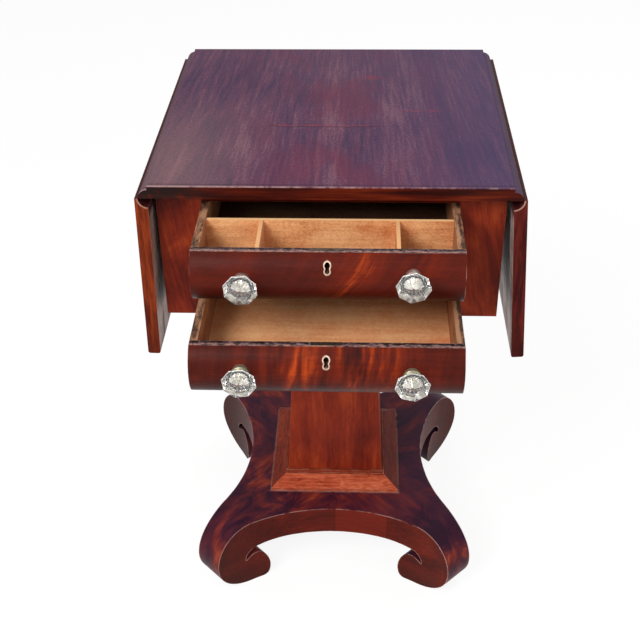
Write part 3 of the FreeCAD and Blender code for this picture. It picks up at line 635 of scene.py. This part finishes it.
def make_base_finish(name, side_x, side_y, seed):
    """The veneer of one quarter. side_x and side_y are 1 or -1: the way that its leg points."""
    bench = new_bench(name)
    place = bench.place()
    x, y, z = bench.split(place)
    half = math.sqrt(0.5)
    out = x * (side_x * half) + y * (side_y * half)
    aside = x * (side_y * half) - y * (side_x * half)
    strokes = bench.join(out * 0.6 + seed, aside, z * 0.6)
    clouds = bench.noise(strokes, 22, 4, 0.6, 0.9)
    feather = bench.noise(bench.stretch(strokes, (0.35, 1, 0.6)), 100, 4, 0.65, 0.4)
    # next to another quarter, the figure is one that both share
    at_seam = x.near(0, SEAM).most(y.near(0, SEAM))
    clouds = clouds + (bench.noise(place, 22, 4, 0.6, 0.9) - clouds) * at_seam
    feather = feather + (bench.noise(place, 100, 4, 0.65, 0.4) - feather) * at_seam
    streaks, lines, pores = grain(bench, place, ALONG_X, 2.2)
    warm = 0.0
    for spot_x, spot_y, reach in WARM_PLACES:
        spot = (x - spot_x).near(0, reach) * (y - spot_y).near(0, reach)
        warm = spot + warm
    red = (warm * 0.45 + (clouds - 0.5) * 2.4).rise(0.2, 0.75)
    flame = three_shades(bench, feather, (86, 29, 29), (120, 43, 33), (156, 68, 46))
    colour = bench.ramp(weigh((clouds, 0.8), (feather, 0.3)), [
        (0.38, (46, 20, 38)), (0.48, (74, 29, 42)), (0.56, (96, 37, 42)), (0.66, (120, 48, 42))])
    colour = bench.cover(colour, [
        (red * 0.85, flame),
        # over the right front, a dark bluish painted shade
        (x.rise(0.0, 0.2) * y.rise(-0.2, -0.05) * 0.6, (46, 30, 54))])

    # the bands and scrolls, darker at the left, at the back and near the floor
    redder = x.rise(RED_BAND_FROM - 0.0005, RED_BAND_FROM)
    redder = redder * x.fall(RED_BAND_TO - 0.0005, RED_BAND_TO)
    butted = x.near(RED_BAND_FROM, 0.001).most(x.near(RED_BAND_TO, 0.001))
    band = three_shades(bench, weigh((streaks, 0.5), (lines, 0.35)),
                        (58, 17, 12), (90, 25, 16), (114, 37, 21))
    band = bench.cover(band, [
        (redder * 0.3, (136, 40, 22)),
        (butted * 0.45, (34, 12, 8)),
        (x.fall(-0.21, -0.1) * 0.6, (44, 17, 13)),
        (y.rise(-0.05, 0.1) * 0.4, (48, 20, 15)),
        ((z + clouds * 0.03).fall(0.02, 0.07) * 0.45, (50, 24, 19))])

    # dust round the moulding, a bare underside, and pale edges: wear with a painted highlight
    nx, ny, nz = bench.facing()
    sideways = (nx * side_x - ny * side_y).size() * half
    dust = (x.size().most(y.size()) - PLINTH_REACH).near(0.001, 0.0022) * feather.rise(0.3, 0.5)
    # the pale edges are in patches, but whole on the rolls, and stop where two quarters meet
    patches = bench.noise(place, 40, 2).rise(0.4, 0.55).most(out.rise(0.2, 0.24))
    apart = x.size().rise(0.002, 0.004) * y.size().rise(0.002, 0.004)
    wear = wear_and_glint_arris(bench, 0.002) * patches * apart
    colour = bench.cover(colour, [
        (sideways.rise(0.4, 0.5), band),
        (dust * nz.rise(0.5, 0.9) * 0.4, (168, 140, 132)),
        ((-1 * nz).rise(0.93, 0.98), (84, 50, 36)),
        # stronger towards the right, where the painted highlight on the edges is brightest
        (wear * (x.rise(-0.1, 0.1) * 0.25 + 0.75), (208, 168, 158))])
    return polish(bench, colour, lines, pores, sheen=DULL_SHEEN)


base_finishes = {}
for seed, (end, side_y) in enumerate((("front", -1), ("rear", 1))):
    for side, side_x in (("left", -1), ("right", 1)):
        leg = "leg_" + end + "_" + side
        base_finishes[leg] = make_base_finish(leg + "_veneer", side_x, side_y, seed * 2.4 + side_x)
print("base:", sorted(base_finishes))

# %% [markdown]
# ## The leaves
#
# A leaf hangs with its polished side out. Its ends show the same red as the rest, but the inner
# side, which nobody polishes, is painted pale grey with dark stains, the grey being a painted
# reflection of light. Round the pivot of its joint a leaf has a cove that fits the rounded edge of
# the top, so the cove's radius is what the top has beyond its hinge.

# %% The finish of the leaves
COVE_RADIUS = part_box("top_board")[1][0] - joints["leaf_right_hinge"]["pos_m"][0]


def make_leaf_finish(name, out_x, seed, end_dark, end_light):
    """out_x is 1 or -1: the way that the hanging leaf's polished side faces."""
    bench = new_bench(name + "_wood")
    low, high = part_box(name)
    place = bench.place()
    x, _, z = bench.split(place)
    streaks, lines, pores = grain(bench, place, ALONG_Y, seed)
    tone = weigh((streaks, 0.6), (lines, 0.4))
    colour = three_shades(bench, tone, (58, 26, 32), (86, 40, 44), (114, 58, 56))
    stains = bench.noise(bench.stretch(place, (1, 1, 0.25), (seed, 0, 0)), 40, 4, 0.7)
    # the unpolished inner side: a pale grey that is painted reflection of light, with dark stains
    bare = bench.ramp(tone * 0.4 + stains * 0.6, [
        (0.4, (52, 45, 45)), (0.46, (140, 126, 122)), (0.56, (200, 184, 178))])
    # the ends, darker at the foot; at the top the edge of the cove has lost its polish
    upright = bench.noise(bench.stretch(place, (1, 1, 0.1), (seed, 0, 0)), 170, 3, 0.6, 0.4)
    pivot = joints[name + "_hinge"]["pos_m"]
    across = bench.join(x - pivot[0], 0.0, z - pivot[2])
    from_pivot = bench.node("VectorMath", {"operation": "LENGTH"}, {0: across}, "Value")
    chipped = (from_pivot - COVE_RADIUS).fall(0.0016, 0.003) * stains.rise(0.35, 0.55)
    ends = bench.cover(end_dark, [
        (upright.rise(0.34, 0.66), end_light),
        ((z - low[2]).fall(0.0, 0.06) * 0.7, end_dark),
        (chipped * 0.75, (196, 152, 126))])
    # the cove that turns round the edge of the top is black with wear
    nx, ny, _ = bench.facing()
    at_end = ny.size().rise(0.7, 0.9)
    cove = z.rise(high[2] - 0.03, high[2] - 0.02) * (1 - at_end)
    colour = bench.cover(colour, [
        ((nx * -out_x).rise(0.6, 0.85), bare), (cove * 0.95, (66, 22, 26)), (at_end, ends)])
    colour = rub(bench, colour, 0.001, 60, 0.6, (168, 116, 96))
    return polish(bench, colour, lines, pores, 0.35, 0.55, DULL_SHEEN)


leaf_finishes = {
    "leaf_left": make_leaf_finish("leaf_left", -1, 7.7, (80, 24, 12), (140, 56, 24)),
    "leaf_right": make_leaf_finish("leaf_right", 1, 9.1, (58, 16, 14), (100, 32, 26)),
}
print("leaves:", sorted(leaf_finishes))

# %% [markdown]
# ## Bare wood inside
#
# Inside, nothing was ever polished: pale mahogany in the drawers and darker pine in the case. The
# upper drawer's bottom, which lies deep in the case, is painted nearly black, as shade. The upper
# edges of the drawer sides are rubbed and stained by two hundred years of hands; the upper faces
# of the tray and its dividers are painted paler, as light falling from above.

# %% The bare wood finishes
# the middle of the right side's thickness: its edge is paler within and darker without
SIDE_MIDDLE = (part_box("drawer_upper_side_right")[0][0]
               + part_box("drawer_upper_side_right")[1][0]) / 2


def make_bare(name, along, seed, dark, light, edge=None, pale=None):
    """Unpolished wood between two shades. Its upper faces may take a worn edge colour, and may be
    painted paler, as light from above.
    """
    bench = new_bench(name)
    place = bench.place()
    streaks, lines, pores = grain(bench, place, along, seed)
    stain = bench.noise(place, 20, 4, 0.65)
    speck = bench.noise(bench.stretch(place, (0.6, 0.6, 1)), 480, 2, 0.6)
    tone = weigh((streaks, 0.2), (lines, 0.2), (stain, 0.35), (speck, 0.25))
    colour = bench.ramp(tone, [(0.4, dark), (0.58, light)])
    up = bench.facing()[2].rise(0.9, 0.97)
    if edge:
        worn = bench.noise(bench.stretch(place, (1, 0.3, 1)), 140, 3, 0.7)
        x = bench.split(place)[0]
        paler = x.rise(0.1, 0.11) * x.fall(SIDE_MIDDLE - 0.001, SIDE_MIDDLE)
        darker = x.rise(SIDE_MIDDLE, SIDE_MIDDLE + 0.001)
        top = bench.ramp(worn + paler * 0.1 - darker * 0.06, [
            (0.4, (78, 58, 48)), (0.5, edge), (0.62, (182, 134, 102))])
        colour = bench.mix(up, colour, top)
    # upper faces painted paler, as light falling from above
    if pale:
        colour = bench.mix(up, colour, pale)
    rough = lines * 0.2 + 0.6
    return bench.finish(colour, rough, lines + pores, 0.0001, Specular_IOR_Level=0.1)


tray_finish = make_bare("tray_wood", ALONG_X, 1.9, (204, 118, 66), (255, 192, 134),
                        pale=(250, 198, 142))
divider_finish = make_bare("divider_wood", ALONG_Y, 4.4, (196, 126, 84), (244, 180, 134),
                           pale=(240, 182, 128))
bottom_finish = make_bare("drawer_bottom_wood", ALONG_X, 2.8, (240, 150, 98),
                          (255, 194, 138))
# the upper drawer's bottom lies deep in the case, and is painted nearly black as shade
bay_shade_finish = make_bare("bay_bottom_wood", ALONG_X, 5.8, (70, 46, 34), (104, 72, 54))
side_bare_finish = make_bare("drawer_side_wood", ALONG_Y, 3.3, (132, 82, 54),
                             (190, 130, 90), edge=(142, 100, 76))
back_bare_finish = make_bare("drawer_back_wood", ALONG_X, 3.9, (128, 84, 56),
                             (178, 122, 86))
case_bare_x = make_bare("case_wood_across", ALONG_X, 5.5, (88, 56, 38), (138, 94, 66))
case_bare_y = make_bare("case_wood_deep", ALONG_Y, 6.1, (88, 56, 38), (138, 94, 66))
print("bare woods made")

# %% [markdown]
# ## Glass and metal
#
# The knobs are old pressed flint glass: clear, with the high index of lead glass, a little smoky,
# and just milky enough to catch light by itself. The edges of each facet are rougher and painted
# white and half metallic, as bright glints. The stars behind the glass are silvered, the collars
# are thin plated brass, dull and stained, the keyhole rims are pale metal, and hinges, screws and
# locks are iron gone brown.

# %% The glass and metal finishes


def make_metal(name, shine, stain, rough_low, rough_high, size=70, metallic=0.9):
    """Metal with stains of a second colour, rougher where it is stained."""
    bench = new_bench(name)
    patches = bench.noise(bench.place(), size, 4, 0.65, 0.4)
    cover = patches.rise(0.42, 0.62)
    colour = bench.mix(cover, shine, stain)
    rough = cover * (rough_high - rough_low) + rough_low
    return bench.finish(colour, rough, patches, 0.00005, Metallic=metallic)


FLINT_INDEX = 1.6
SMOKE = (0.78, 0.78, 0.78, 1)


def make_glass(name, milk):
    """Smoky glass with edges painted bright as glints. milk is the share that scatters light like
    paint.
    """
    bench = new_bench(name)
    # the edges are rougher, and painted white and half metallic as bright glints
    edges = wear_and_glint_arris(bench, 0.0011, 0.004, 0.02)
    wear = bench.noise(bench.place(), 300, 2)
    colour = bench.mix(edges, bench.mix(wear, SMOKE, PAPER), WHITE)
    return bench.finish(colour, wear * 0.04 + edges * 0.3, Metallic=edges * 0.8,
                        Transmission_Weight=1 - milk, IOR=FLINT_INDEX)


glass_finish = make_glass("cut_glass", 0.04)
silver_finish = make_metal("silvered_back", (252, 248, 238), (206, 202, 190),
                           0.1, 0.25, 110)
bolt_finish = make_metal("bolt_end", (168, 128, 84), (110, 80, 54), 0.35, 0.6, 300)
collar_upper_finish = make_metal("collar_pewter", (206, 186, 176), (150, 124, 114),
                                 0.3, 0.45)
collar_lower_finish = make_metal("collar_brass", (190, 186, 158), (134, 128, 108),
                                 0.3, 0.45)
rim_finish = make_metal("keyhole_rim", (222, 200, 176), (176, 148, 122),
                        0.35, 0.5, 400, 0.4)
iron_finish = make_metal("dark_iron", (96, 84, 76), (66, 48, 38), 0.4, 0.7, 200)
print("glass and metals made")

# %% [markdown]
# ## Finishes onto the frame
#
# Each node of the frame is given its finish by name. The tables below are the colour scheme.

# %% Assign the finishes
finish_of = {
    "top_board": top_finish, "column": column_finish, "column_cleat": rail_finish,
    "plinth_mouldings": plinth_finish, "rail_top": rail_finish, "rail_middle": rail_finish,
    "rail_bottom": rail_finish, "case_back": case_bare_x, "case_bottom": case_bare_y,
    "runners": case_bare_y, "kickers": case_bare_y, "hinge_top_plates": iron_finish,
    "drawer_upper_front": upper_front_finish, "drawer_lower_front": lower_front_finish,
    "drawer_upper_bottom": bay_shade_finish, "drawer_lower_bottom": bottom_finish,
    "drawer_upper_partition": tray_finish,
}
finish_of.update(base_finishes)
finish_of.update(leaf_finishes)
for side in ("_left", "_right"):
    finish_of.update({
        "case_side" + side: side_finish, "stile" + side: stile_finish,
        "guide_panel" + side: case_bare_y, "leaf_bracket" + side: case_bare_y,
        "hinge_flaps" + side: iron_finish, "drawer_upper_divider" + side: divider_finish,
        "drawer_upper_side" + side: side_bare_finish, "drawer_lower_side" + side: side_bare_finish,
    })
for drawer in ("drawer_upper", "drawer_lower"):
    finish_of.update({
        drawer + "_back": back_bare_finish, drawer + "_escutcheon": rim_finish,
        drawer + "_lock": iron_finish, drawer + "_lock_bolt": iron_finish,
        drawer + "_knobs": glass_finish, drawer + "_knob_collars": iron_finish,
    })
for name, thing in nodes.items():
    thing.data.materials.clear()
    thing.data.materials.append(finish_of[name])
print("finishes given to", len(nodes), "nodes")

# %% [markdown]
# ## Tools for modelling
#
# The glass, collars, nuts and screws are modelled as by hand: a primitive of the right size, then
# faces picked by where they are and extruded, inset, scaled or bevelled. A few helpers keep that
# short. Each piece is modelled once, about its own axis, and copied to its places; a copy gets a
# mesh of its own, and its place goes into that mesh.

# %% Helpers for modelling


def add(kind, name, **sizes):
    """A primitive with its place in its mesh, open in edit mode and with nothing selected."""
    bpy.ops.object.select_all(action="DESELECT")
    getattr(bpy.ops.mesh, "primitive_" + kind + "_add")(**sizes)
    piece = bpy.context.object
    piece.name = name
    bpy.ops.object.transform_apply(location=True, rotation=True, scale=True)
    bpy.ops.object.mode_set(mode="EDIT")
    bpy.ops.mesh.select_all(action="DESELECT")
    return piece


def add_forward(kind, name, back, length, spin=0.0, **sizes):
    """A cone or cylinder about the Y axis that reaches forward, along -Y, from its back."""
    return add(kind, name, depth=length, location=(0, back - length / 2, 0),
               rotation=(math.pi / 2, spin, 0), **sizes)


def choose(piece, kind, wanted):
    """Selects the faces or vertices that pass a test, and says how many."""
    bpy.ops.mesh.select_mode(type=kind)
    bpy.ops.mesh.select_all(action="DESELECT")
    shape = bmesh.from_edit_mesh(piece.data)
    items = shape.faces if kind == "FACE" else shape.verts
    picked = [item for item in items if wanted(item)]
    for item in picked:
        item.select_set(True)
    shape.select_flush_mode()
    bmesh.update_edit_mesh(piece.data)
    return len(picked)


def raise_face(step, grow=1.0):
    """Extrudes the chosen face along -Y, and scales its new end about the axis."""
    bpy.ops.mesh.extrude_region_move(TRANSFORM_OT_translate={"value": (0, -step, 0)})
    bpy.ops.transform.resize(value=(grow, 1, grow), center_override=(0, 0, 0))


def close_piece(piece, bevel=0.0, segments=2, sharp=15):
    """Turns every face outwards and rounds the edges that are sharper than an angle."""
    bpy.ops.mesh.select_all(action="SELECT")
    bpy.ops.mesh.normals_make_consistent(inside=False)
    bpy.ops.object.mode_set(mode="OBJECT")
    if bevel:
        rounding = piece.modifiers.new("rounding", "BEVEL")
        rounding.width = bevel
        rounding.segments = segments
        rounding.angle_limit = math.radians(sharp)
        bpy.ops.object.modifier_apply(modifier=rounding.name)
    print(piece.name, "faces:", len(piece.data.polygons))


def copy_to(piece, name, body, matrix, finish, replaced=None):
    """A copy with its own mesh, put in its place and joined to the body that carries it."""
    twin = piece.copy()
    twin.data = piece.data.copy()
    twin.name = twin.data.name = name
    bpy.context.scene.collection.objects.link(twin)
    bpy.ops.object.select_all(action="DESELECT")
    bpy.context.view_layer.objects.active = twin
    twin.select_set(True)
    twin.matrix_world = matrix
    bpy.ops.object.transform_apply(location=True, rotation=True, scale=True)
    twin.data.materials.append(finish)
    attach(twin, body)
    if replaced:
        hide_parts(replaced)


# %% [markdown]
# ## The cut glass knobs
#
# A knob is an octagon that flares from its narrow back to a thin rim, and its front rises in two
# rings of facets to a low point. A cone with eight sides is already the flare, so its front face
# is extruded for the rim, then narrower for the crown and once more for the point. Every edge
# then gets a tiny bevel, which with the glints painted on the edges by the finish draws a line
# round each facet.

# %% Model one glass knob
# the widths of the rim, the back and the front facet, then how far each part comes forward
KNOB_WIDE = 0.037
KNOB_BACK = 0.022
KNOB_TABLE = 0.021
KNOB_FLARE = 0.0105
KNOB_RIM = 0.0012
KNOB_CROWN = 0.0033
KNOB_POINT = 0.0010
KNOB_TIP = 0.3
COLLAR_LONG = 0.007
OCTAGON = math.cos(math.pi / 8)


def faces_front(face):
    """True for a face that looks along -Y."""
    return face.normal.y < -0.99


knob = add_forward("cone", "knob", -COLLAR_LONG, KNOB_FLARE, math.pi / 8, vertices=8,
                   radius1=KNOB_BACK / 2 / OCTAGON, radius2=KNOB_WIDE / 2 / OCTAGON)
choose(knob, "FACE", faces_front)
raise_face(KNOB_RIM)
raise_face(KNOB_CROWN, KNOB_TABLE / KNOB_WIDE)
raise_face(KNOB_POINT, KNOB_TIP)
close_piece(knob, bevel=0.0004, segments=3)

# %% [markdown]
# ## The silvered star behind the glass
#
# In the middle of each knob the photograph shows a bright star with a brown heart, low in the
# glass: the fluted, silvered hollow that holds the bolt reaches forward to just under the point,
# and the end of the bolt shows there. A long cone with 32 sides becomes the star when every other
# point of its rim is drawn in. The bolt's end is a small turned button.

# %% Model the star and the bolt's end
STAR_RADIUS = 0.0102
STAR_BACK = COLLAR_LONG + 0.001
STAR_DEEP = 0.0133
STAR_POINTS = 16
STAR_WAIST = 0.8
BOLT_RADIUS = 0.0016
BOLT_LONG = 0.002


def between_rays(vert):
    """True for every other point of the star's rim."""
    turn = math.atan2(vert.co.z, vert.co.x) / math.pi * STAR_POINTS
    on_rim = vert.co.xz.length > STAR_RADIUS / 2
    return on_rim and round(turn) % 2 == 1


star = add_forward("cone", "star", -STAR_BACK, STAR_DEEP, vertices=2 * STAR_POINTS,
                   radius1=STAR_RADIUS, radius2=0)
print("drawn in:", choose(star, "VERT", between_rays))
bpy.ops.transform.resize(value=(STAR_WAIST, 1, STAR_WAIST), center_override=(0, 0, 0))
close_piece(star)

button = add_forward("cylinder", "button", -STAR_BACK - STAR_DEEP + BOLT_LONG / 2, BOLT_LONG,
                     vertices=16, radius=BOLT_RADIUS)
choose(button, "FACE", faces_front)
raise_face(0.0004, 0.6)
close_piece(button, bevel=0.0002)

# %% [markdown]
# ## The turned collars and their nuts
#
# A lathe makes a collar one ring at a time, and so does this cell: a disc's front face is
# extruded and scaled, again and again, along a list of steps. Its foot starts inside the bowed
# front, so that it meets the bow all round. The nut on the inside of the drawer front is a hexagon
# whose face is inset and drawn out for the end of the bolt.

# %% Model one collar and one nut
COLLAR_RADIUS = 0.0105
COLLAR_FOOT = 0.007
FLANGE = 0.0020
# how far each step goes forward, and the radius at its end, in millimetres
COLLAR_STEPS = [(0.5, 10.2), (0.0, 9.5), (0.4, 9.4), (0.1, 10.2), (0.5, 10.5), (0.6, 10.3),
                (0.1, 9.4), (0.6, 9.2), (0.8, 9.5), (0.9, 10.4), (0.5, 10.6)]

collar = add_forward("cylinder", "collar", COLLAR_FOOT, COLLAR_FOOT + FLANGE, vertices=64,
                     radius=COLLAR_RADIUS)
choose(collar, "FACE", faces_front)
radius = COLLAR_RADIUS * 1000
for step, end_radius in COLLAR_STEPS:
    raise_face(step / 1000, end_radius / radius)
    radius = end_radius
close_piece(collar, bevel=0.00012, sharp=35)
print("collar length:", (sum(step for step, _ in COLLAR_STEPS) / 1000 + FLANGE) * 1000, "mm")

NUT_HALF = 0.0045
NUT_THICK = 0.004
nut = add_forward("cylinder", "nut", NUT_THICK, NUT_THICK, vertices=6,
                  radius=NUT_HALF / math.cos(math.pi / 6))
choose(nut, "FACE", lambda face: face.normal.y > 0.99)
bpy.ops.mesh.inset(thickness=0.0023)
raise_face(-0.0012)
close_piece(nut, bevel=0.0003)

# %% [markdown]
# ## Screws
#
# Every hinge plate, both locks and the board under the case are held by old slotted screws. The
# head is a disc; an inset leaves a rim, two cuts across the middle mark the slot, and the strip
# between them is pushed in.

# %% Model one screw head
HEAD_RADIUS = 0.0027
HEAD_THICK = 0.0012
HEAD_PROUD = 0.0002
SLOT_HALF = 0.0004
SLOT_DEEP = 0.0006


def faces_up(face):
    """True for a face that looks along Z."""
    return face.normal.z > 0.99


screw = add("cylinder", "screw", vertices=20, radius=HEAD_RADIUS, depth=HEAD_THICK,
            location=(0, 0, HEAD_PROUD - HEAD_THICK / 2))
choose(screw, "FACE", faces_up)
bpy.ops.mesh.inset(thickness=0.0002)
for x in (-SLOT_HALF, SLOT_HALF):
    choose(screw, "FACE", lambda face: faces_up(face) and abs(face.calc_center_median().y) < 1e-4)
    bpy.ops.mesh.bisect(plane_co=(x, 0, 0), plane_no=(1, 0, 0))
print("slot faces:", choose(screw, "FACE", lambda face: faces_up(face)
                            and face.calc_center_median().xy.length < SLOT_HALF / 2))
bpy.ops.mesh.extrude_region_move(TRANSFORM_OT_translate={"value": (0, 0, -SLOT_DEEP)})
close_piece(screw, bevel=0.0001, segments=1)

# %% [markdown]
# ## The knobs onto the drawers
#
# The four knobs were never quite level and each octagon stopped turning where its bolt was tight,
# so each has its own lift and its own turn. They stand on the crest of the bow, which is the
# front of the drawer's box.

# %% Place the knobs
KNOB_X = 0.096
# for each knob its x, how far it stands above the middle of the front, and its turn in degrees
KNOB_SEATS = {
    "drawer_upper": ((-KNOB_X, 0.0032, -4.0), (KNOB_X, 0.0086, 28.5)),
    "drawer_lower": ((-KNOB_X, 0.0062, -8.0), (KNOB_X, 0.0044, 12.5)),
}

for drawer, seats in KNOB_SEATS.items():
    low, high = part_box(drawer + "_front")
    collar_finish = collar_upper_finish if drawer == "drawer_upper" else collar_lower_finish
    for side, (x, lift, turn) in zip(("left", "right"), seats):
        crest = Matrix.Translation((x, low[1], (low[2] + high[2]) / 2 + lift))
        inside = Matrix.Translation((x, high[1], (low[2] + high[2]) / 2 + lift))
        turned = crest @ Matrix.Rotation(math.radians(turn), 4, "Y")
        tail = drawer[7:] + "_" + side
        glass = drawer + "_knobs"
        mount = drawer + "_knob_collars"
        copy_to(knob, "knob_" + tail, drawer, turned, glass_finish, glass)
        copy_to(star, "knob_star_" + tail, drawer, turned, silver_finish)
        copy_to(button, "knob_bolt_end_" + tail, drawer, crest, bolt_finish)
        copy_to(collar, "knob_collar_" + tail, drawer, crest, collar_finish, mount)
        copy_to(nut, "knob_nut_" + tail, drawer, inside, iron_finish, mount)
    print(drawer, "front box", low, high)

# %% [markdown]
# ## The screws into their plates
#
# A hinge has three screws in the plate under the top and three in the long flap in the leaf. The
# flap's are placed as if the leaf were raised, level with the top, and then swung down with it by
# the angle that the leaf's joint can turn. The Z of a seat looks out of its plate, and each screw
# has its own turn about it, as screws have that were driven until they were tight.

# %% Place the screws
HINGE_Y = 0.1135
UNDER = Matrix.Rotation(math.pi, 4, "X")
OUT_OF_LOCK = Matrix.Rotation(-math.pi / 2, 4, "X")
PLATE_SCREWS = ((-0.020, -0.012), (-0.020, 0.012), (-0.010, 0.0))
FLAP_SCREWS = ((0.017, 0.0), (0.034, -0.012), (0.034, 0.012))
LOCK_INSET = 0.004
LOCK_INSET_TOP = 0.005
CLEAT_SCREW = 0.082
SLOT_TURN = 1.1

# each seat with the body that carries it
screw_seats = []
for side, sign in (("left", -1), ("right", 1)):
    joint = joints["leaf_" + side + "_hinge"]
    pivot = Matrix.Translation(joint["pos_m"])
    hang = Matrix.Rotation(math.radians(joint["range_deg"][1]) * sign, 4, "Y")
    halves = (("stand", pivot, PLATE_SCREWS), ("leaf_" + side, pivot @ hang, FLAP_SCREWS))
    for middle in (-HINGE_Y, HINGE_Y):
        for body, hinge, holes in halves:
            for x, y in holes:
                seat = Matrix.Translation((x * sign, y + middle, 0)) @ UNDER
                screw_seats.append((body, hinge @ seat))

for drawer in KNOB_SEATS:
    low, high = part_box(drawer + "_lock")
    for x in (low[0] + LOCK_INSET, high[0] - LOCK_INSET):
        for z in (low[2] + LOCK_INSET, high[2] - LOCK_INSET_TOP):
            screw_seats.append((drawer, Matrix.Translation((x, high[1], z)) @ OUT_OF_LOCK))

low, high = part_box("column_cleat")
for x in (-CLEAT_SCREW, CLEAT_SCREW):
    for y in (-CLEAT_SCREW, CLEAT_SCREW):
        screw_seats.append(("stand", Matrix.Translation((x, y, low[2])) @ UNDER))

for number, (body, seat) in enumerate(screw_seats, 1):
    turn = Matrix.Rotation(number * SLOT_TURN, 4, "Z")
    copy_to(screw, "screw_{:02d}".format(number), body, seat @ turn, iron_finish)
for pattern in (knob, star, button, collar, nut, screw):
    bpy.data.objects.remove(pattern)
print("screws placed:", len(screw_seats))
